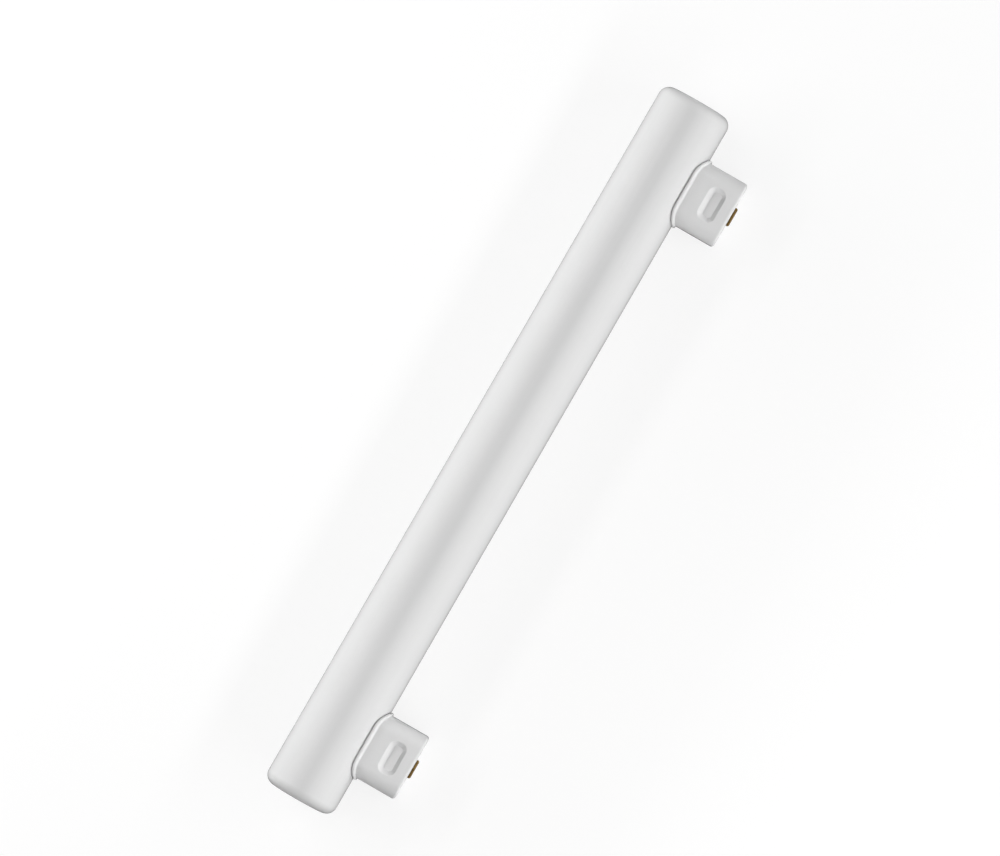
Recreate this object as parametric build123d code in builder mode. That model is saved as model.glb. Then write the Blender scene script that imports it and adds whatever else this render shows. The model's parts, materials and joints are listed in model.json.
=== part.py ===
"""Tubular light bulb with two side caps, lying at rest on its tube and on the edges of its caps.

Millimetres. X runs along the tube, Z is up and the origin is on the floor under the middle of the lamp.
Each piece is drawn on a plane through the tube's axis whose normal points out of the caps' outer faces.
"""
import os
from math import asin, atan2, cos, hypot, sin

from build123d import *

# Opal tube, closed at both ends
tube_length = 300.0
tube_diameter = 29.1
tube_end_radius = 4.1

# Side caps: a hollow body with rounded ends that stands on the tube
cap_from_end = 31.0
cap_height = 17.1
cap_length = 26.6
cap_width = 17.6
cap_end_flat = 6.0
cap_wall = 1.6
cap_floor = 2.0
cap_edge_radius = 1.2

# Saddle flange that bonds each cap to the tube, with a shadow gap under its rim
saddle_end_lip = 0.9
saddle_side_lip = 1.1
saddle_corner_radius = 7.0
saddle_thickness = 1.1
saddle_rim_chamfer = 0.3
bond_gap = 0.1
shadow_gap_height = 0.5
shadow_gap_depth = 0.6

# Latch recess on each long side of a cap, with sloped walls
latch_from_face = 8.4
latch_width = 7.1
latch_end_land = 0.7
latch_depth = 1.5
latch_slope = 50.0
latch_corner_radius = 3.0

# Brass contact: a folded shoe over a moulded pad, with two clinched legs
contact_length = 7.5
contact_width = 5.0
contact_height = 1.2
contact_gauge = 0.5
contact_bend_radius = 0.7
contact_leg_width = 3.2
contact_foot = 2.6
contact_clearance = 0.1

# Cement that fills the lower part of each cap and bonds it to the tube
cement_headroom = 3.0
cement_gap = 0.05

# Lead wire from a contact's foot through the cement to the tube
lead_diameter = 1.2
lead_clearance = 0.1

# Levels, measured out from the tube's axis
tube_radius = tube_diameter / 2
bond_radius = tube_radius + bond_gap
saddle_radius = bond_radius + saddle_thickness
cap_reach = tube_radius + cap_height
cap_inside = cap_reach - cap_floor
latch_level = cap_reach - latch_from_face

# Sizes that follow from the ones above
cap_place = tube_length / 2 - cap_from_end
cap_end_radius = (cap_width - cap_end_flat) / 2
core_length = cap_length - 2 * cap_wall
core_width = cap_width - 2 * (cap_wall + latch_depth)
saddle_length = cap_length + 2 * saddle_end_lip
saddle_width = cap_width + 2 * saddle_side_lip
latch_length = cap_length - 2 * cap_end_radius - 2 * latch_end_land
pad_length = contact_length - 2 * contact_bend_radius
pad_width = contact_width - 2 * contact_bend_radius
slot_length = contact_gauge + 2 * contact_clearance
slot_width = contact_leg_width + 2 * contact_clearance
leg_place = (contact_length - contact_gauge) / 2
foot_place = leg_place + contact_foot / 2
lead_bore = lead_diameter + 2 * lead_clearance

# The lamp rolls until the lower edge of the caps meets the floor beside the tube
edge_level = cap_reach - cap_edge_radius
edge_side = cap_width / 2 - cap_edge_radius
tilt = asin((tube_radius - cap_edge_radius) / hypot(edge_level, edge_side)) - atan2(edge_side, edge_level)
outward = (0, -cos(tilt), -sin(tilt))

# The farthest rounded edge on the caps' side, which with the tube's back gives the middle of the lamp
bend_level = cap_reach + contact_height - contact_bend_radius
bend_side = contact_width / 2 - contact_bend_radius
edge_reach = edge_level * cos(tilt) + edge_side * sin(tilt) + cap_edge_radius
bend_reach = bend_level * cos(tilt) + bend_side * sin(tilt) + contact_bend_radius
axis_y = (max(edge_reach, bend_reach) - tube_radius) / 2


def seat_plane(x):
    """Plane on the tube's axis at x, with its normal pointing out of the caps."""
    return Plane(origin=(x, axis_y, tube_radius), x_dir=(1, 0, 0), z_dir=outward)


def cross_plane(x):
    """Plane across the tube's axis at x."""
    return Plane(origin=(x, axis_y, tube_radius), x_dir=(0, 1, 0), z_dir=(1, 0, 0))


def side_plane(x, side):
    """Plane on one long side of a cap, through the middle of its latch recess, facing out."""
    seat = seat_plane(x)
    middle = seat.from_local_coords((0, side * cap_width / 2, latch_level))
    return Plane(origin=middle, x_dir=(1, 0, 0), z_dir=seat.y_dir * side)


def make_shadow_gap(x):
    """Ring cut away under the saddle's rim, between the tube and the lip."""
    with BuildPart() as ring:
        with BuildSketch(seat_plane(x)):
            RectangleRounded(saddle_length, saddle_width, saddle_corner_radius)
            offset(amount=-shadow_gap_depth, mode=Mode.SUBTRACT)
        extrude(amount=saddle_radius)
        with BuildSketch(cross_plane(x)):
            Circle(bond_radius + shadow_gap_height)
        extrude(amount=saddle_length, both=True, mode=Mode.INTERSECT)
    return ring.part


def make_cap(x):
    """Hollow side cap with its saddle, latch recesses, contact pad and slots."""
    seat = seat_plane(x)
    face = seat.offset(cap_reach)
    out = Axis(seat.origin, seat.z_dir)
    with BuildPart() as cap:
        # Saddle, a rounded plate bent to the tube
        with BuildSketch(seat):
            RectangleRounded(saddle_length, saddle_width, saddle_corner_radius)
        extrude(amount=saddle_radius)
        with BuildSketch(cross_plane(x)):
            Circle(saddle_radius)
        extrude(amount=saddle_length, both=True, mode=Mode.INTERSECT)
        chamfer(cap.faces().sort_by(out)[-1].edges(), saddle_rim_chamfer)

        # Body, with its outer edge rounded
        with BuildSketch(seat):
            RectangleRounded(cap_length, cap_width, cap_end_radius)
        extrude(amount=cap_reach)
        fillet(cap.faces().sort_by(out)[-1].edges(), cap_edge_radius)

        # Seat on the tube, shadow gap, and a core between the latch recesses
        with BuildSketch(cross_plane(x)):
            Circle(bond_radius)
        extrude(amount=saddle_length, both=True, mode=Mode.SUBTRACT)
        add(make_shadow_gap(x), mode=Mode.SUBTRACT)
        with BuildSketch(seat):
            SlotOverall(core_length, core_width)
        extrude(amount=cap_inside, mode=Mode.SUBTRACT)

        # Latch recesses
        for side in (-1, 1):
            wall = side_plane(x, side)
            with BuildSketch(wall):
                RectangleRounded(latch_length, latch_width, latch_corner_radius)
            extrude(amount=-latch_depth, taper=latch_slope, mode=Mode.SUBTRACT)

        # Pad that backs the contact, and the slots for its legs
        with BuildSketch(face):
            Rectangle(pad_length, pad_width)
        extrude(amount=contact_height - contact_gauge)
        with BuildSketch(face):
            with Locations((-leg_place, 0), (leg_place, 0)):
                Rectangle(slot_length, slot_width)
        extrude(amount=-cap_floor, mode=Mode.SUBTRACT)
    return cap.part


def make_contact(x):
    """Folded brass shoe over the cap's pad, with a leg at each end clinched under the cap's floor."""
    seat = seat_plane(x)
    face = seat.offset(cap_reach)
    out = Axis(seat.origin, seat.z_dir)
    across = Axis(seat.origin, seat.y_dir)
    with BuildPart() as contact:
        # Shoe, open towards the cap
        with BuildSketch(face):
            Rectangle(contact_length, contact_width)
        extrude(amount=contact_height)
        fillet(contact.faces().sort_by(out)[-1].edges(), contact_bend_radius)
        offset(amount=-contact_gauge, openings=contact.faces().sort_by(out)[0])

        # Legs through the floor, and feet turned out along its inside
        with BuildSketch(face):
            with Locations((-leg_place, 0), (leg_place, 0)):
                Rectangle(contact_gauge, contact_leg_width)
        extrude(amount=-cap_floor)
        with BuildSketch(face.offset(-cap_floor)):
            with Locations((-foot_place, 0), (foot_place, 0)):
                Rectangle(contact_gauge + contact_foot, contact_leg_width)
        extrude(amount=-contact_gauge)
        foot_edges = contact.edges().filter_by(across).group_by(out)[0]
        fillet(foot_edges.sort_by(Axis.X)[1:3], contact_bend_radius)
    return contact.part


def make_cement(x, lead_x):
    """Cement between the tube and the inside of a cap, cast around the lead wire."""
    with BuildPart() as cement:
        with BuildSketch(seat_plane(x)):
            SlotOverall(core_length - 2 * cement_gap, core_width - 2 * cement_gap)
        extrude(amount=cap_inside - cement_headroom)
        with BuildSketch(cross_plane(x)):
            Circle(bond_radius)
        extrude(amount=cap_length, both=True, mode=Mode.SUBTRACT)
        with BuildSketch(seat_plane(lead_x)):
            Circle(lead_bore / 2)
        extrude(amount=cap_inside, mode=Mode.SUBTRACT)
    return cement.part


def make_lead(x):
    """Stiff lead wire from the tube straight up to a foot of the contact."""
    with BuildPart() as lead:
        with BuildSketch(seat_plane(x).offset(tube_radius)):
            Circle(lead_diameter / 2)
        extrude(amount=cap_height - cap_floor - contact_gauge)
    return lead.part


cap_places = {"left": -cap_place, "right": cap_place}
lead_places = {"left": cap_places["left"] + foot_place, "right": cap_places["right"] - foot_place}

with BuildPart() as opal_tube:
    with BuildSketch(cross_plane(-tube_length / 2)):
        Circle(tube_radius)
    extrude(amount=tube_length)
    fillet(opal_tube.edges().filter_by(GeomType.CIRCLE), tube_end_radius)

pieces = {"opal_tube": opal_tube.part}
for end in ("left", "right"):
    pieces[end + "_cap"] = make_cap(cap_places[end])
    pieces[end + "_cement"] = make_cement(cap_places[end], lead_places[end])
    pieces[end + "_contact"] = make_contact(cap_places[end])
    pieces[end + "_lead"] = make_lead(lead_places[end])

os.makedirs("parts", exist_ok=True)
for name, piece in pieces.items():
    piece.label = name
    export_step(piece, f"parts/{name}.step")
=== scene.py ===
"""Studio scene of a tubular light bulb with two side caps, laid out as an add-on and run as a script."""
import json
import math
from typing import NamedTuple

import bmesh
import bpy
import numpy as np
from bpy.props import FloatProperty, FloatVectorProperty, PointerProperty
from mathutils import Matrix, Vector


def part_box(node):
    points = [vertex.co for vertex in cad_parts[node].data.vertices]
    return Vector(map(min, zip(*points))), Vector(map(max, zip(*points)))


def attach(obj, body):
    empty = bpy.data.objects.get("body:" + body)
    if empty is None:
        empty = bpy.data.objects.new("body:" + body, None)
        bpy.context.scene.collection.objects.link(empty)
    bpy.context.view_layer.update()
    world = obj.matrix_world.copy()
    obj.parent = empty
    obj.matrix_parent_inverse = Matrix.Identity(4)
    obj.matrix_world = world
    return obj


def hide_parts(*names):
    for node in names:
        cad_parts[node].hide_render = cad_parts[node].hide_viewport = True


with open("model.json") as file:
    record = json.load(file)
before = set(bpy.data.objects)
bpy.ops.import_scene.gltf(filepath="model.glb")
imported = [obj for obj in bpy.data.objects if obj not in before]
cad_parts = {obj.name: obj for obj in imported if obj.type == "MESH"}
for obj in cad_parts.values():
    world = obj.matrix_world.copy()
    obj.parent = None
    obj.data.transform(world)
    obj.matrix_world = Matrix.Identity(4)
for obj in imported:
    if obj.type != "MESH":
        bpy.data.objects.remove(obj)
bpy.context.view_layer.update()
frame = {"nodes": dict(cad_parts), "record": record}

bl_info = {
    "name": "Tubular light bulb",
    "version": (1, 0, 0),
    "blender": (4, 5, 0),
    "location": "3D View > Sidebar > Bulb",
    "description": "Opal tube with two moulded side caps, dressed for a studio picture",
    "category": "Object",
}

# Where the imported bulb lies: its tube's axis, and the way its caps point
RECORD = frame["record"]
TUBE_LOW, TUBE_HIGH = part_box("opal_tube")
TUBE_RADIUS = (TUBE_HIGH.z - TUBE_LOW.z) / 2
TUBE_CENTRE = Vector((0, TUBE_HIGH.y - TUBE_RADIUS, TUBE_LOW.z + TUBE_RADIUS))
MOUNTS = {mount["name"]: mount for mount in RECORD["mounts"]}
OUTWARD = Vector(MOUNTS["left_cap_plug"]["axis"]).normalized()
ALONG = Vector((1, 0, 0))
FACING = OUTWARD.cross(ALONG)
COLOURS = {material["slot"]: material["base_color"] for material in RECORD["materials"]}

# Meshes and textures are sized in millimetres, and bumps in micrometres
MM_PER_METRE = 1000
METRES_PER_MICROMETRE = 1e-6

# Every outline of a cap has the same count of points: two long sides and two rounded ends
SIDE_STEPS = 20
CORNER_STEPS = 16
FLAT_STEPS = 2
END_STEPS = 2 * CORNER_STEPS + FLAT_STEPS
# Where each long side starts among those points
SIDE_STARTS = {1: 0, -1: SIDE_STEPS + END_STEPS}
# A flat shorter than this, in millimetres, is none
LEAST_FLAT = 1e-6
# A latch recess's loops match the wall around it: eighths of a turn, and straight runs between corners
EIGHTH_STEPS = 4
RUN_STEPS = (SIDE_STEPS - 2 * EIGHTH_STEPS, 2)
ROW_STEPS = RUN_STEPS[1] + 2 * EIGHTH_STEPS
# Rings over the rounded edges of a cap, and across its seat on the tube
EDGE_RINGS = 8
COVE_RINGS = 6
RIM_RINGS = 5
SEAT_RINGS = 6
MOUTH_RINGS = 6
ROOT_RINGS = 5
# Points around the tube, and rings over a rounded end and along the straight
TUBE_STEPS = 192
TUBE_END_RINGS = 17
TUBE_STRAIGHT_RINGS = 26
# Edges that turn by more than this stay sharp
SHARP_ANGLE = math.radians(38)

# A mix node's colour sockets, which share their names with its other sockets
MIX_COLOURS = (6, 7)
MIX_COLOUR_RESULT = 2

# Camera sensor in millimetres, and the floor in metres
SENSOR_WIDTH = 36
FLOOR_WIDTH = 12
# A light is past an end of the tube where this share of its direction runs along the tube
PAST_END = 0.9


class LightPlace(NamedTuple):
    """Where a light stands, in degrees round and along the tube, and its distance and size in metres."""

    towards_caps: float
    towards_right: float
    distance: float
    length: float
    width: float


# Four long lights beside the tube, and three soft ones past its ends
LIGHT_PLACES = {
    "back_low": LightPlace(towards_caps=-88, towards_right=0, distance=0.6, length=0.9, width=0.08),
    "back_high": LightPlace(towards_caps=-62, towards_right=0, distance=0.6, length=0.9, width=0.08),
    "front_high": LightPlace(towards_caps=44, towards_right=0, distance=0.6, length=0.9, width=0.08),
    "front_low": LightPlace(towards_caps=78.5, towards_right=0, distance=0.6, length=0.9, width=0.012),
    "right_end": LightPlace(towards_caps=0, towards_right=75, distance=1.4, length=0.8, width=0.8),
    "right_front": LightPlace(towards_caps=60, towards_right=60, distance=1.4, length=0.8, width=0.8),
    "left_front": LightPlace(towards_caps=20, towards_right=-45, distance=0.7, length=0.4, width=0.4),
}


def length_property(name, description, default):
    """Length in metres."""
    return FloatProperty(
        name=name, description=description, default=default, min=0, unit="LENGTH", precision=5
    )


def angle_property(name, description, degrees):
    """Angle, with its default given in degrees."""
    return FloatProperty(name=name, description=description, default=math.radians(degrees), subtype="ANGLE")


def power_property(name, description, default):
    """Power of a light in watts."""
    return FloatProperty(name=name, description=description, default=default, min=0, unit="POWER")


def share_property(name, description, default):
    """Share of the whole, from 0 to 1."""
    return FloatProperty(name=name, description=description, default=default, min=0, max=1, subtype="FACTOR")


def colour_property(name, description, default):
    """Colour, from the red, green and blue of its default."""
    return FloatVectorProperty(
        name=name, description=description, default=default[:3], min=0, max=1, subtype="COLOR"
    )


class BulbSizes(bpy.types.PropertyGroup):
    """Sizes of the bulb's visible pieces"""

    tube_radius: length_property("Tube radius", "Radius of the tube that the caps sit on", 0.01455)
    tube_end_radius: length_property("Tube end radius", "Rounding of the tube's closed ends", 0.0041)
    body_length: length_property("Cap length", "Length of a cap's body along the tube", 0.0266)
    body_height: length_property("Cap height", "Height of a cap's outer face above the tube", 0.0171)
    body_width: length_property("Cap width", "Width of a cap's body across the tube", 0.0176)
    body_flat: length_property("Cap end flat", "Flat left in the middle of a cap's rounded end", 0.006)
    body_edge: length_property("Cap edge radius", "Rounding of the edge of a cap's outer face", 0.0012)
    body_wall: length_property("Cap wall", "Wall of a cap around its core", 0.0016)
    body_floor: length_property("Cap floor", "Floor of a cap under its contact", 0.002)
    saddle_end_lip: length_property("Saddle end lip", "Reach of the saddle past a cap's ends", 0.0009)
    saddle_side_lip: length_property("Saddle side lip", "Reach of the saddle past a cap's sides", 0.0011)
    saddle_corner: length_property("Saddle corner radius", "Corner radius of the saddle", 0.007)
    saddle_thickness: length_property("Saddle thickness", "Thickness of the saddle on the tube", 0.0011)
    saddle_rim: length_property("Saddle rim radius", "Rounding of the saddle's rim", 0.0003)
    saddle_cove: length_property("Saddle cove radius", "Cove where a cap rises from its saddle", 0.0003)
    bond_gap: length_property("Bond gap", "Gap between the saddle and the tube", 0.0001)
    shadow_height: length_property("Shadow gap height", "Height of the gap under the saddle's rim", 0.0005)
    shadow_depth: length_property("Shadow gap depth", "Depth of the gap under the saddle's rim", 0.0006)
    latch_from_face: length_property("Latch place", "Middle of a latch recess from the outer face", 0.0084)
    latch_width: length_property("Latch width", "Width of a latch recess", 0.0071)
    latch_land: length_property("Latch land", "Land left at each end of a latch recess", 0.0007)
    latch_depth: length_property("Latch depth", "Depth of a latch recess", 0.0015)
    latch_shift: length_property("Latch shift", "Shift of a latch recess's floor to the outer face", 0.0004)
    latch_corner: length_property("Latch corner radius", "Corner radius of a latch recess's mouth", 0.003)
    latch_mouth: length_property("Latch mouth radius", "Rounding of a latch recess's mouth", 0.0003)
    latch_root: length_property("Latch root radius", "Rounding at the foot of a latch recess", 0.00025)
    latch_slope: angle_property("Latch slope", "Slope of a latch recess's walls", 50)
    pad_length: length_property("Pad length", "Length of the pad that backs the contact", 0.0061)
    pad_width: length_property("Pad width", "Width of the pad that backs the contact", 0.0036)
    pad_height: length_property("Pad height", "Height of the pad that backs the contact", 0.0007)
    slot_place: length_property("Slot place", "Middle of a leg's slot from the middle of the cap", 0.0035)
    slot_length: length_property("Slot length", "Length of a leg's slot along the tube", 0.0007)
    slot_width: length_property("Slot width", "Width of a leg's slot across the tube", 0.0034)


class BulbFinishes(bpy.types.PropertyGroup):
    """Colours of the bulb's materials"""

    opal: colour_property("Opal tube", "Colour of the opal tube", (0.845, 0.845, 0.845))
    moulding: colour_property("Cap moulding", "Colour of the moulded caps", COLOURS["cap_moulding"])
    # Bare brass shows only on the contacts' outward-facing crown, as wear and as a painted highlight.
    brass: colour_property("Contact", "Colour of the contacts where rubbed bare", COLOURS["contact_brass"])
    tarnish: colour_property("Contact tarnish", "Colour of the contacts where browned", (0.115, 0.074, 0.026))
    wire: colour_property("Lead wire", "Colour of the bare lead wires", COLOURS["lead_wire"])
    cement: colour_property("Cement", "Colour of the cement inside the caps", COLOURS["cap_cement"])


class BulbStudio(bpy.types.PropertyGroup):
    """Camera, lights and floor of the studio"""

    lens: FloatProperty(name="Lens", description="Focal length", default=300, min=50, unit="CAMERA")
    view_width: length_property("View width", "Width of the picture at the tube's axis", 0.37355)
    lean: angle_property("Lean", "Slope of the tube in the picture", 60.02)
    aim_right: length_property("Aim right", "How far the picture looks right of the tube's middle", 0.00082)
    aim_up: length_property("Aim up", "How far the picture looks above the tube's middle", 0.0083)
    ambient: share_property("Ambient", "Strength of the even light from all round", 0.05)
    back_low: power_property("Back low", "Power of the long light low behind the tube", 3.8)
    back_high: power_property("Back high", "Power of the long light high behind the tube", 1.3)
    front_high: power_property("Front high", "Power of the long light high on the caps' side", 2.55)
    front_low: power_property("Front low", "Power of the thin light low on the caps' side", 1.32)
    right_end: power_property("Right end", "Power of the soft light past the right end", 3.4)
    right_front: power_property("Right front", "Power of the soft light right of the caps", 3.05)
    left_front: power_property("Left front", "Power of the soft light left of the caps", 0.6)
    floor_bounce: share_property("Floor bounce", "Grey of the floor as it lights the bulb", 0.22)
    floor_shadow: share_property("Floor shadow", "Share of the floor's white that shadows take", 0.22)
    floor_white: share_property("Floor white", "Share of the floor's white that shadows leave", 0.8)
    floor_near: length_property("Floor near", "Distance at which the floor starts to turn pure white", 0.26)
    floor_far: length_property("Floor far", "Distance from which the floor is pure white", 0.5)


def cap_sizes(group):
    """The sizes that a cap needs, in millimetres, with those that follow from others."""
    size = {key: MM_PER_METRE * getattr(group, key) for key in group.__annotations__}
    size["latch_slope"] = group.latch_slope
    size["reach"] = size["tube_radius"] + size["body_height"]
    size["inside"] = size["reach"] - size["body_floor"]
    size["bond"] = size["tube_radius"] + size["bond_gap"]
    size["saddle"] = size["bond"] + size["saddle_thickness"]
    size["body_corner"] = (size["body_width"] - size["body_flat"]) / 2
    size["latch_level"] = size["reach"] - size["latch_from_face"]
    size["latch_length"] = size["body_length"] - 2 * (size["body_corner"] + size["latch_land"])
    return size


# Outlines, as (along, across) points


def outline(length, width, radius):
    """Closed rounded outline that starts at one end of a long side."""
    straight, flat = length / 2 - radius, width / 2 - radius
    if flat > LEAST_FLAT:
        quarter = np.linspace(0, math.pi / 2, CORNER_STEPS, endpoint=False)
        turn = [(angle, flat) for angle in quarter]
        turn += [(math.pi / 2, shift) for shift in np.linspace(flat, -flat, FLAT_STEPS, endpoint=False)]
        turn += [(math.pi / 2 + angle, -flat) for angle in quarter]
    else:
        turn = [(angle, 0) for angle in np.linspace(0, math.pi, END_STEPS, endpoint=False)]
    half = [(along, width / 2) for along in np.linspace(straight, -straight, SIDE_STEPS, endpoint=False)]
    for angle, shift in turn:
        half.append((-straight - radius * math.sin(angle), shift + radius * math.cos(angle)))
    return half + [(-along, -across) for along, across in half]


def body_outline(size, grow=0):
    """Outline of a cap's body, grown or shrunk all round."""
    length, width = size["body_length"], size["body_width"]
    return outline(length + 2 * grow, width + 2 * grow, size["body_corner"] + grow)


def saddle_outline(size, grow=0):
    """Outline of a cap's saddle, grown or shrunk all round."""
    length = size["body_length"] + 2 * size["saddle_end_lip"]
    width = size["body_width"] + 2 * size["saddle_side_lip"]
    return outline(length + 2 * grow, width + 2 * grow, size["saddle_corner"] + grow)


def part_way(first, last, share):
    """Outline part of the way from one outline to another."""
    return [tuple(a + share * (b - a) for a, b in zip(p, q)) for p, q in zip(first, last)]


def latch_loop(length, width, radius):
    """Rounded rectangle of a latch recess that starts in the middle of a corner."""
    a, b = length / 2 - radius, width / 2 - radius
    corners = (Vector((a, b)), Vector((-a, b)), Vector((-a, -b)), Vector((a, -b)))
    step = math.pi / 4 / EIGHTH_STEPS

    def at(corner, angle):
        return corner + radius * Vector((math.cos(angle), math.sin(angle)))

    points = []
    for k, here in enumerate(corners):
        there = corners[(k + 1) % len(corners)]
        square = math.pi / 2 * (k + 1)
        run = RUN_STEPS[k % 2]
        points += [at(here, square - math.pi / 4 + step * i) for i in range(EIGHTH_STEPS)]
        points += [at(here.lerp(there, i / run), square) for i in range(run)]
        points += [at(there, square + step * i) for i in range(EIGHTH_STEPS)]
    return points


def latch_profile(size):
    """Steps of a latch recess's wall as (growth of its outline, depth): mouth, slope and root."""
    slope, depth = size["latch_slope"], size["latch_depth"]
    mouth, root = size["latch_mouth"], size["latch_root"]
    turn = math.pi / 2 - slope
    lead = mouth * math.tan(turn / 2)
    foot = depth * math.tan(slope) + root * math.tan(turn / 2)
    steps = []
    for angle in np.linspace(0, turn, MOUTH_RINGS):
        steps.append((lead - mouth * math.sin(angle), mouth * (1 - math.cos(angle))))
    for angle in np.linspace(turn, 0, ROOT_RINGS):
        steps.append((root * math.sin(angle) - foot, depth - root * (1 - math.cos(angle))))
    return steps


# Mesh building, in millimetres about the tube's axis


def level_ring(bm, points, level):
    """Ring of vertices at one level above the tube's axis."""
    return [bm.verts.new((along, across, level)) for along, across in points]


def round_ring(bm, points, radius):
    """Ring of vertices laid on a cylinder around the tube's axis."""
    return [bm.verts.new((along, across, math.sqrt(radius**2 - across**2))) for along, across in points]


def rectangle(bm, middle, length, width, level):
    """Four vertices around a point on a cap's middle line."""
    corners = ((1, 1), (-1, 1), (-1, -1), (1, -1))
    return [bm.verts.new((middle + a * length / 2, b * width / 2, level)) for a, b in corners]


def skin(bm, first, last, leave=()):
    """Quads between two closed rings of the same count, leaving out some places."""
    count = len(first)
    for i in range(count):
        if i not in leave:
            j = (i + 1) % count
            bm.faces.new((first[i], first[j], last[j], last[i]))


def fill(bm, *loops):
    """Flat face inside the first loop and around the others."""
    edges = []
    for loop in loops:
        for first, last in zip(loop, loop[1:] + loop[:1]):
            edges.append(bm.edges.get((first, last)) or bm.edges.new((first, last)))
    bmesh.ops.triangle_fill(bm, use_beauty=True, use_dissolve=False, edges=edges)


def body_rings(bm, size):
    """Rings of a cap's rounded outer edge, and those of its wall beside the latch recesses."""
    edge = size["body_edge"]
    edge_rings = []
    for angle in np.linspace(0, math.pi / 2, EDGE_RINGS):
        points = body_outline(size, edge * (math.sin(angle) - 1))
        edge_rings.append(level_ring(bm, points, size["reach"] - edge * (1 - math.cos(angle))))
    half = size["latch_width"] / 2 + 2 * size["latch_mouth"]
    levels = np.linspace(size["latch_level"] + half, size["latch_level"] - half, ROW_STEPS + 1)
    return edge_rings, [level_ring(bm, body_outline(size), level) for level in levels]


def saddle_rings(bm, size):
    """Rings of the cove at the foot of a cap's wall, and of its saddle's rounded rim."""
    saddle, cove, rim = size["saddle"], size["saddle_cove"], size["saddle_rim"]
    rings = []
    for angle in np.linspace(0, math.pi / 2, COVE_RINGS):
        points = body_outline(size, cove * (1 - math.cos(angle)))
        rings.append(round_ring(bm, points, saddle + cove * (1 - math.sin(angle))))
    for angle in np.linspace(0, math.pi / 2, RIM_RINGS):
        points = saddle_outline(size, rim * (math.sin(angle) - 1))
        rings.append(round_ring(bm, points, saddle - rim * (1 - math.cos(angle))))
    return rings


def inner_rings(bm, size):
    """Rings of a cap's shadow gap, of its seat on the tube and of its core up to the floor."""
    seat = saddle_outline(size, -size["shadow_depth"])
    core_width = size["body_width"] - 2 * (size["body_wall"] + size["latch_depth"])
    core = outline(size["body_length"] - 2 * size["body_wall"], core_width, core_width / 2)
    gap = size["bond"] + size["shadow_height"]
    rings = [round_ring(bm, points, gap) for points in (saddle_outline(size), seat)]
    for share in np.linspace(0, 1, SEAT_RINGS):
        rings.append(round_ring(bm, part_way(seat, core, share), size["bond"]))
    return rings + [level_ring(bm, core, size["inside"])]


def make_latch(bm, rows, side, size):
    """Latch recess in one long side of a cap, let into the rows of its wall."""
    start = SIDE_STARTS[side]
    end = start + SIDE_STEPS
    loop = rows[0][start:end]
    loop += [row[end] for row in rows[:-1]]
    loop += reversed(rows[-1][start + 1:end + 1])
    loop += [row[start] for row in reversed(rows[1:])]
    for grow, depth in latch_profile(size):
        points = latch_loop(
            size["latch_length"] + 2 * grow, size["latch_width"] + 2 * grow, size["latch_corner"] + grow
        )
        across = side * (size["body_width"] / 2 - depth)
        level = size["latch_level"] + size["latch_shift"] * depth / size["latch_depth"]
        inner = [bm.verts.new((side * p.x, across, level + p.y)) for p in points]
        skin(bm, loop, inner)
        loop = inner
    bm.faces.new(loop)


def make_floor_of_cap(bm, outer_ring, inner_ring, size):
    """Outer face with the contact's pad, and the inside of the floor, joined by the slots for the legs."""
    outer, inner = [], []
    for side in (1, -1):
        for level, loops in ((size["reach"], outer), (size["inside"], inner)):
            place = side * size["slot_place"]
            loops.append(rectangle(bm, place, size["slot_length"], size["slot_width"], level))
        skin(bm, outer[-1], inner[-1])
    pad = rectangle(bm, 0, size["pad_length"], size["pad_width"], size["reach"])
    crown = rectangle(bm, 0, size["pad_length"], size["pad_width"], size["reach"] + size["pad_height"])
    skin(bm, pad, crown)
    bm.faces.new(crown)
    fill(bm, outer_ring, pad, *outer)
    fill(bm, inner_ring, *inner)


def make_cap_mesh(name, size):
    """Hollow moulded cap as one closed mesh."""
    bm = bmesh.new()
    edge, wall = body_rings(bm, size)
    rings = edge + wall + saddle_rings(bm, size) + inner_rings(bm, size)
    first_row, last_row = len(edge), len(edge) + len(wall) - 1
    latch_places = {start + i for start in SIDE_STARTS.values() for i in range(SIDE_STEPS)}
    for i, (first, last) in enumerate(zip(rings, rings[1:])):
        skin(bm, first, last, latch_places if first_row <= i < last_row else ())
    for side in SIDE_STARTS:
        make_latch(bm, wall, side, size)
    make_floor_of_cap(bm, rings[0], rings[-1], size)
    return close_mesh(bm, name)


def make_tube_mesh(name, length, radius, end_radius):
    """Closed tube with flat ends and rounded corners."""
    bm = bmesh.new()
    profile = []
    for angle in np.linspace(0, math.pi / 2, TUBE_END_RINGS):
        along = length / 2 - end_radius * (1 - math.cos(angle))
        profile.append((along, radius - end_radius * (1 - math.sin(angle))))
    straight = length / 2 - end_radius
    profile += [(along, radius) for along in np.linspace(straight, -straight, TUBE_STRAIGHT_RINGS)[1:-1]]
    profile += [(-along, out) for along, out in reversed(profile[:TUBE_END_RINGS])]
    angles = np.linspace(0, 2 * math.pi, TUBE_STEPS, endpoint=False)
    rings = []
    for along, out in profile:
        rings.append([bm.verts.new((along, out * math.cos(a), out * math.sin(a))) for a in angles])
    for first, last in zip(rings, rings[1:]):
        skin(bm, first, last)
    bm.faces.new(rings[0])
    bm.faces.new(rings[-1])
    return close_mesh(bm, name)


def close_mesh(bm, name):
    """Turns a closed build mesh into a mesh with smooth faces and sharp edges."""
    bmesh.ops.recalc_face_normals(bm, faces=bm.faces[:])
    open_edges = sum(1 for edge in bm.edges if not edge.is_manifold)
    if open_edges:
        raise RuntimeError(f"{name} has {open_edges} open edges")
    mesh = bpy.data.meshes.new(name)
    bm.to_mesh(mesh)
    bm.free()
    mesh.shade_smooth()
    mesh.set_sharp_from_angle(angle=SHARP_ANGLE)
    return mesh


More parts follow.
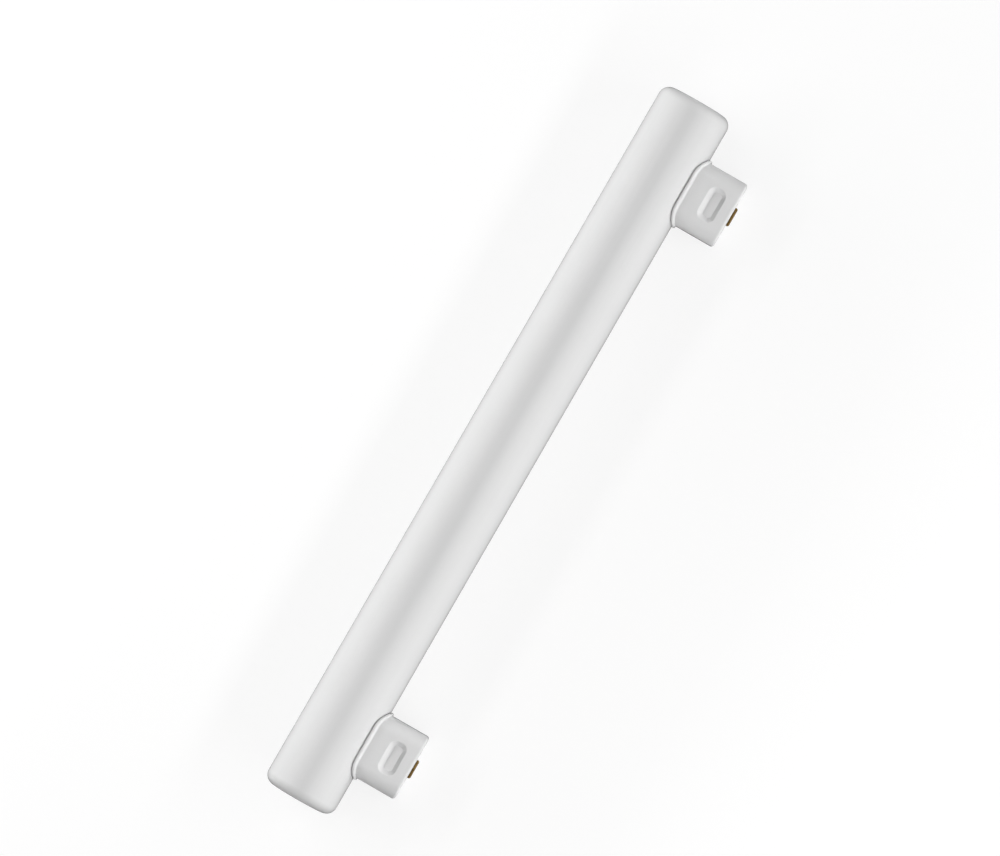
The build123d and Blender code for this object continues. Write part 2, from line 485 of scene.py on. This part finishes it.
def place_piece(mesh, origin, node):
    """Puts a mesh in millimetres where its node is, and lets it stand for that node."""
    turn = Matrix((ALONG, FACING, OUTWARD)).transposed().to_4x4()
    mesh.transform(Matrix.Translation(origin) @ turn @ Matrix.Scale(1 / MM_PER_METRE, 4))
    piece = bpy.data.objects.new(mesh.name, mesh)
    bpy.context.scene.collection.objects.link(piece)
    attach(piece, "root")
    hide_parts(node)
    return piece


def dress(names, material):
    """Gives CAD nodes a material."""
    for name in names:
        node = frame["nodes"][name]
        node.data.materials.clear()
        node.data.materials.append(material)


# Materials


def grey(level):
    """Grey with its alpha."""
    return (level, level, level, 1)


def shade(colour, factor):
    """A colour made darker or lighter."""
    return tuple(min(1.0, c * factor) for c in colour)


class Finish:
    """Node material with one shader, built up from textures on the object's own coordinates."""

    def __init__(self, name, **settings):
        self.material = bpy.data.materials.new(name)
        self.material.use_nodes = True
        self.tree = self.material.node_tree
        self.shader = self.tree.nodes["Principled BSDF"]
        for socket, value in settings.items():
            self.shader.inputs[socket.replace("_", " ")].default_value = value
        self.place = self.tree.nodes.new("ShaderNodeTexCoord").outputs["Object"]

    def link(self, output, socket):
        self.tree.links.new(output, socket)

    def noise(self, size, detail=3, rough=0.5, stretch=(1, 1, 1)):
        """Soft noise whose features are about as large as size, in millimetres."""
        mapping = self.tree.nodes.new("ShaderNodeMapping")
        mapping.inputs["Scale"].default_value = stretch
        self.link(self.place, mapping.inputs["Vector"])
        node = self.tree.nodes.new("ShaderNodeTexNoise")
        node.inputs["Scale"].default_value = MM_PER_METRE / size
        node.inputs["Detail"].default_value = detail
        node.inputs["Roughness"].default_value = rough
        self.link(mapping.outputs["Vector"], node.inputs["Vector"])
        return node.outputs["Fac"]

    def facing(self, direction):
        """How far the surface's own normal points along a direction."""
        node = self.tree.nodes.new("ShaderNodeVectorMath")
        node.operation = "DOT_PRODUCT"
        node.inputs[1].default_value = direction
        self.link(self.tree.nodes.new("ShaderNodeNewGeometry").outputs["Normal"], node.inputs[0])
        return node.outputs["Value"]

    def between(self, factor, low, high, start=0.3, end=0.7):
        """Number that goes from low to high as the factor goes from start to end."""
        node = self.tree.nodes.new("ShaderNodeMapRange")
        for socket, value in zip(("From Min", "From Max", "To Min", "To Max"), (start, end, low, high)):
            node.inputs[socket].default_value = value
        self.link(factor, node.inputs["Value"])
        return node.outputs["Result"]

    def blend(self, factor, first, last):
        """Colour that goes from the first to the last with the factor."""
        node = self.tree.nodes.new("ShaderNodeMix")
        node.data_type = "RGBA"
        for index, colour in zip(MIX_COLOURS, (first, last)):
            if isinstance(colour, bpy.types.NodeSocket):
                self.link(colour, node.inputs[index])
            else:
                node.inputs[index].default_value = (*colour, 1)
        self.link(factor, node.inputs["Factor"])
        return node.outputs[MIX_COLOUR_RESULT]

    def shades(self, factor, colour, first, last):
        """Colour that goes from one shade of itself to another with the factor."""
        return self.blend(factor, shade(colour, first), shade(colour, last))

    def use(self, colour, roughness):
        """Gives the shader its colour and roughness."""
        self.link(colour, self.shader.inputs["Base Color"])
        self.link(roughness, self.shader.inputs["Roughness"])

    def bump(self, *heights):
        """Bumps from (height, depth in micrometres) pairs, one on top of the other."""
        normal = None
        for height, depth in heights:
            node = self.tree.nodes.new("ShaderNodeBump")
            node.inputs["Strength"].default_value = 1
            node.inputs["Distance"].default_value = depth * METRES_PER_MICROMETRE
            self.link(height, node.inputs["Height"])
            if normal:
                self.link(normal, node.inputs["Normal"])
            normal = node.outputs["Normal"]
        self.link(normal, self.shader.inputs["Normal"])


def opal_finish(colours):
    """Satin opal tube: slow drift of tone, faint draw lines and a very fine orange peel."""
    # Painted shade: the grey tint of a coat that reflects nothing darkens the tube more where its surface
    # turns towards the outline, giving dark edges.
    finish = Finish("opal_satin", Specular_IOR_Level=0.32, Coat_Weight=1, Coat_IOR=1, Coat_Tint=grey(0.92))
    drift = finish.noise(size=50, detail=2)
    lines = finish.noise(size=1.6, detail=2, stretch=(0.02, 1, 1))
    peel = finish.noise(size=0.7, detail=2)
    tone = finish.shades(finish.between(drift, 0, 1), colours.opal, 0.985, 1.015)
    finish.use(
        colour=finish.blend(finish.between(lines, 0, 0.35), tone, shade(colours.opal, 0.97)),
        roughness=finish.between(drift, 0.48, 0.55),
    )
    finish.bump((lines, 1), (peel, 1))
    return finish.material


def moulding_finish(colours):
    """Moulded cap: fine spark grain, a little shine worn onto it and a slow drift of tone."""
    # Painted shade: the grey tint of a coat that reflects nothing darkens the caps more where their surface
    # turns towards the outline, giving dark edges.
    finish = Finish("cap_grain", Specular_IOR_Level=0.12, Coat_Weight=1, Coat_IOR=1, Coat_Tint=grey(0.97))
    drift = finish.noise(size=8)
    rubbed = finish.noise(size=2.5, detail=4, rough=0.6)
    grain = finish.noise(size=0.22, rough=0.6)
    tone = finish.shades(finish.between(drift, 0, 1), colours.moulding, 0.98, 1.015)
    finish.use(
        colour=finish.blend(finish.between(grain, 0, 0.3), tone, shade(colours.moulding, 0.95)),
        roughness=finish.between(rubbed, 0.55, 0.66),
    )
    finish.bump((rubbed, 6), (grain, 6))
    return finish.material


def contact_finish(colours):
    """Rolled brass that has browned, with fine rolling lines and bare streaks that a spring has rubbed on the
    crown; the streaks show only where the surface faces outward, so that face is also a painted highlight.
    """
    finish = Finish("contact_brass_browned", Metallic=1)
    rolled = finish.noise(size=0.12, stretch=(0.04, 1, 1))
    patches = finish.noise(size=1.3, detail=5, rough=0.65)
    rubs = finish.noise(size=0.4, detail=4, rough=0.6, stretch=(1, 0.04, 0.04))
    # Painted highlight: only the outward-facing crown gets the bare brass streaks, so it is lighter than the
    # dark brown sides. The spring's rubbing on the crown is real wear as well.
    crown = finish.between(finish.facing(OUTWARD), 0, 1, start=0.96, end=0.995)
    bare = finish.between(rubs, 0.6, 1, start=0.35, end=0.65)
    browned = finish.shades(finish.between(patches, 0, 1, start=0.38, end=0.62), colours.tarnish, 1, 0.6)
    worn = finish.blend(bare, browned, colours.brass)
    finish.use(
        colour=finish.blend(crown, browned, worn),
        roughness=finish.between(patches, 0.36, 0.52),
    )
    finish.bump((rolled, 4), (rubs, 5))
    return finish.material


def wire_finish(colours):
    """Bare drawn wire: fine die lines along it and a brown film in places."""
    finish = Finish("wire_drawn", Metallic=1)
    lines = finish.noise(size=0.1, detail=2, stretch=(1, 0.05, 0.2))
    film = finish.noise(size=1.2, detail=4)
    finish.use(
        colour=finish.shades(finish.between(film, 0, 1), colours.wire, 1, 0.6),
        roughness=finish.between(film, 0.25, 0.45),
    )
    finish.bump((lines, 4))
    return finish.material


def cement_finish(colours):
    """Cast cement: mineral grains, pores and a mottled tone."""
    finish = Finish("cement_cast", Specular_IOR_Level=0.2)
    mottle = finish.noise(size=3, detail=4)
    grains = finish.noise(size=0.3, detail=4, rough=0.7)
    tone = finish.shades(finish.between(mottle, 0, 1), colours.cement, 0.85, 1.1)
    pores = finish.between(grains, 0, 0.5, start=0.5, end=0.75)
    finish.use(
        colour=finish.blend(pores, tone, shade(colours.cement, 0.55)),
        roughness=finish.between(grains, 0.75, 0.95),
    )
    finish.bump((mottle, 50), (grains, 40))
    return finish.material


# Stage


def make_shader(tree, kind, **settings):
    """Output of a new shader node with its settings."""
    node = tree.nodes.new(kind)
    for socket, value in settings.items():
        node.inputs[socket].default_value = value
    return node.outputs[0]


def mix_shaders(tree, factor, first, last):
    """Shader that goes from the first to the last with the factor."""
    node = tree.nodes.new("ShaderNodeMixShader")
    for output, socket in zip((factor, first, last), node.inputs):
        tree.links.new(output, socket)
    return node.outputs[0]


def seen_directly(tree):
    """Factor that is 1 where the camera sees a surface directly, mirrored or through something clear."""
    path = tree.nodes.new("ShaderNodeLightPath")
    factor = path.outputs["Is Camera Ray"]
    for name in ("Is Glossy Ray", "Is Transmission Ray"):
        larger = tree.nodes.new("ShaderNodeMath")
        larger.operation = "MAXIMUM"
        tree.links.new(factor, larger.inputs[0])
        tree.links.new(path.outputs[name], larger.inputs[1])
        factor = larger.outputs[0]
    return factor


def fade_outwards(tree, near, far):
    """Factor that goes from 0 to 1 between two distances from the middle of the floor."""
    distance = tree.nodes.new("ShaderNodeVectorMath")
    distance.operation = "LENGTH"
    tree.links.new(tree.nodes.new("ShaderNodeTexCoord").outputs["Object"], distance.inputs[0])
    fade = tree.nodes.new("ShaderNodeMapRange")
    fade.interpolation_type = "SMOOTHSTEP"
    fade.inputs["From Min"].default_value = near
    fade.inputs["From Max"].default_value = far
    tree.links.new(distance.outputs["Value"], fade.inputs["Value"])
    return fade.outputs["Result"]


def floor_finish(studio):
    """White that keeps a faint shadow near the bulb and throws a little light back."""
    material = bpy.data.materials.new("floor_white")
    material.use_nodes = True
    tree = material.node_tree
    tree.nodes.remove(tree.nodes["Principled BSDF"])
    bounce = make_shader(tree, "ShaderNodeBsdfDiffuse", Color=grey(studio.floor_bounce))
    shadowed = make_shader(tree, "ShaderNodeBsdfDiffuse", Color=grey(studio.floor_shadow))
    white = make_shader(tree, "ShaderNodeEmission", Strength=studio.floor_white)
    near = tree.nodes.new("ShaderNodeAddShader")
    tree.links.new(shadowed, near.inputs[0])
    tree.links.new(white, near.inputs[1])
    far = make_shader(tree, "ShaderNodeEmission", Strength=1)
    fade = fade_outwards(tree, studio.floor_near, studio.floor_far)
    sweep = mix_shaders(tree, fade, near.outputs[0], far)
    choice = mix_shaders(tree, seen_directly(tree), bounce, sweep)
    tree.links.new(choice, tree.nodes["Material Output"].inputs["Surface"])
    return material


def make_floor(studio):
    """Wide floor under the bulb."""
    mesh = bpy.data.meshes.new("floor")
    half = FLOOR_WIDTH / 2
    corners = [(-half, -half, 0), (half, -half, 0), (half, half, 0), (-half, half, 0)]
    mesh.from_pydata(corners, [], [range(len(corners))])
    mesh.materials.append(floor_finish(studio))
    floor = bpy.data.objects.new("floor", mesh)
    bpy.context.scene.collection.objects.link(floor)


def make_surroundings(scene, studio):
    """White backdrop all round that lights the bulb evenly and dimly."""
    world = bpy.data.worlds.new("studio")
    world.use_nodes = True
    tree = world.node_tree
    backdrop = tree.nodes["Background"]
    backdrop.inputs["Color"].default_value = grey(1)
    backdrop.inputs["Strength"].default_value = 1
    dim = make_shader(tree, "ShaderNodeBackground", Color=grey(1), Strength=studio.ambient)
    choice = mix_shaders(tree, seen_directly(tree), dim, backdrop.outputs[0])
    tree.links.new(choice, tree.nodes["World Output"].inputs["Surface"])
    scene.world = world


def make_light(name, place, power):
    """Soft light aimed at the tube from its place, unseen by the camera."""
    angle, lengthways = math.radians(place.towards_caps), math.radians(place.towards_right)
    across = math.cos(angle) * FACING + math.sin(angle) * OUTWARD
    direction = math.cos(lengthways) * across + math.sin(lengthways) * ALONG
    light = bpy.data.lights.new(name, "AREA")
    light.shape = "RECTANGLE"
    light.size, light.size_y = place.length, place.width
    light.energy = power
    lamp = bpy.data.objects.new(name, light)
    bpy.context.scene.collection.objects.link(lamp)
    lamp.location = TUBE_CENTRE + direction * place.distance
    sideways = ALONG if abs(direction.dot(ALONG)) < PAST_END else FACING
    upright = direction.cross(sideways).normalized()
    lamp.rotation_euler = Matrix((upright.cross(direction), upright, direction)).transposed().to_euler()
    lamp.visible_camera = False


def make_camera(scene, studio):
    """Long lens that looks straight at the caps' sides, rolled so that the tube leans in the picture."""
    camera = bpy.data.cameras.new("camera")
    camera.lens = studio.lens
    camera.sensor_width = SENSOR_WIDTH
    viewer = bpy.data.objects.new("camera", camera)
    scene.collection.objects.link(viewer)
    right = math.cos(studio.lean) * ALONG + math.sin(studio.lean) * OUTWARD
    up = math.sin(studio.lean) * ALONG - math.cos(studio.lean) * OUTWARD
    aim = TUBE_CENTRE + studio.aim_right * right + studio.aim_up * up
    viewer.location = aim + FACING * studio.view_width * studio.lens / SENSOR_WIDTH
    viewer.rotation_euler = Matrix((right, up, FACING)).transposed().to_euler()
    scene.camera = viewer


# Operators


class BULB_OT_make_tube(bpy.types.Operator):
    """Makes the opal tube with its rounded closed ends"""

    bl_idname = "bulb.make_tube"
    bl_label = "Make opal tube"

    def execute(self, context):
        sizes = (TUBE_HIGH.x - TUBE_LOW.x, TUBE_RADIUS, context.scene.bulb_sizes.tube_end_radius)
        mesh = make_tube_mesh("tube_shell", *(MM_PER_METRE * size for size in sizes))
        mesh.materials.append(opal_finish(context.scene.bulb_finishes))
        place_piece(mesh, TUBE_CENTRE, "opal_tube")
        return {"FINISHED"}


class BULB_OT_make_caps(bpy.types.Operator):
    """Makes the two moulded side caps with saddles, latch recesses and contact pads"""

    bl_idname = "bulb.make_caps"
    bl_label = "Make side caps"

    def execute(self, context):
        size = cap_sizes(context.scene.bulb_sizes)
        finish = moulding_finish(context.scene.bulb_finishes)
        for end in ("left", "right"):
            mesh = make_cap_mesh(f"{end}_cap_moulding", size)
            mesh.materials.append(finish)
            outer_face = Vector(MOUNTS[f"{end}_cap_plug"]["pos_m"])
            origin = outer_face - OUTWARD * size["reach"] / MM_PER_METRE
            cap = place_piece(mesh, origin, f"{end}_cap")
            even = cap.modifiers.new("even_shading", "WEIGHTED_NORMAL")
            even.keep_sharp = True
        return {"FINISHED"}


class BULB_OT_finish_contacts(bpy.types.Operator):
    """Gives the two contacts their dulled metal"""

    bl_idname = "bulb.finish_contacts"
    bl_label = "Finish contacts"

    def execute(self, context):
        dress(("left_contact", "right_contact"), contact_finish(context.scene.bulb_finishes))
        return {"FINISHED"}


class BULB_OT_finish_inside(bpy.types.Operator):
    """Gives the lead wires and the cement inside the caps their materials"""

    bl_idname = "bulb.finish_inside"
    bl_label = "Finish wires and cement"

    def execute(self, context):
        colours = context.scene.bulb_finishes
        dress(("left_lead", "right_lead"), wire_finish(colours))
        dress(("left_cement", "right_cement"), cement_finish(colours))
        return {"FINISHED"}


class BULB_OT_make_stage(bpy.types.Operator):
    """Makes the pale floor, the soft lights and the camera"""

    bl_idname = "bulb.make_stage"
    bl_label = "Make stage"

    def execute(self, context):
        studio = context.scene.bulb_studio
        make_floor(studio)
        make_surroundings(context.scene, studio)
        for name, place in LIGHT_PLACES.items():
            make_light(name, place, getattr(studio, name))
        make_camera(context.scene, studio)
        context.scene.view_settings.view_transform = "Standard"
        return {"FINISHED"}


class BULB_PT_pieces(bpy.types.Panel):
    """Buttons that make the bulb's pieces and the stage, and the values that they use"""

    bl_label = "Bulb"
    bl_idname = "BULB_PT_pieces"
    bl_space_type = "VIEW_3D"
    bl_region_type = "UI"
    bl_category = "Bulb"

    def draw(self, context):
        for operator in OPERATORS:
            self.layout.operator(operator.bl_idname)
        for name in GROUPS:
            group = getattr(context.scene, name)
            box = self.layout.box()
            for key in group.__annotations__:
                box.prop(group, key)


GROUPS = {"bulb_sizes": BulbSizes, "bulb_finishes": BulbFinishes, "bulb_studio": BulbStudio}
OPERATORS = (
    BULB_OT_make_tube,
    BULB_OT_make_caps,
    BULB_OT_finish_contacts,
    BULB_OT_finish_inside,
    BULB_OT_make_stage,
)
CLASSES = (*GROUPS.values(), *OPERATORS, BULB_PT_pieces)


def register():
    for item in CLASSES:
        bpy.utils.register_class(item)
    for name, group in GROUPS.items():
        setattr(bpy.types.Scene, name, PointerProperty(type=group))


def unregister():
    for name in GROUPS:
        delattr(bpy.types.Scene, name)
    for item in reversed(CLASSES):
        bpy.utils.unregister_class(item)


def main():
    register()
    bpy.ops.bulb.make_tube()
    bpy.ops.bulb.make_caps()
    bpy.ops.bulb.finish_contacts()
    bpy.ops.bulb.finish_inside()
    bpy.ops.bulb.make_stage()


if __name__ == "__main__":
    main()
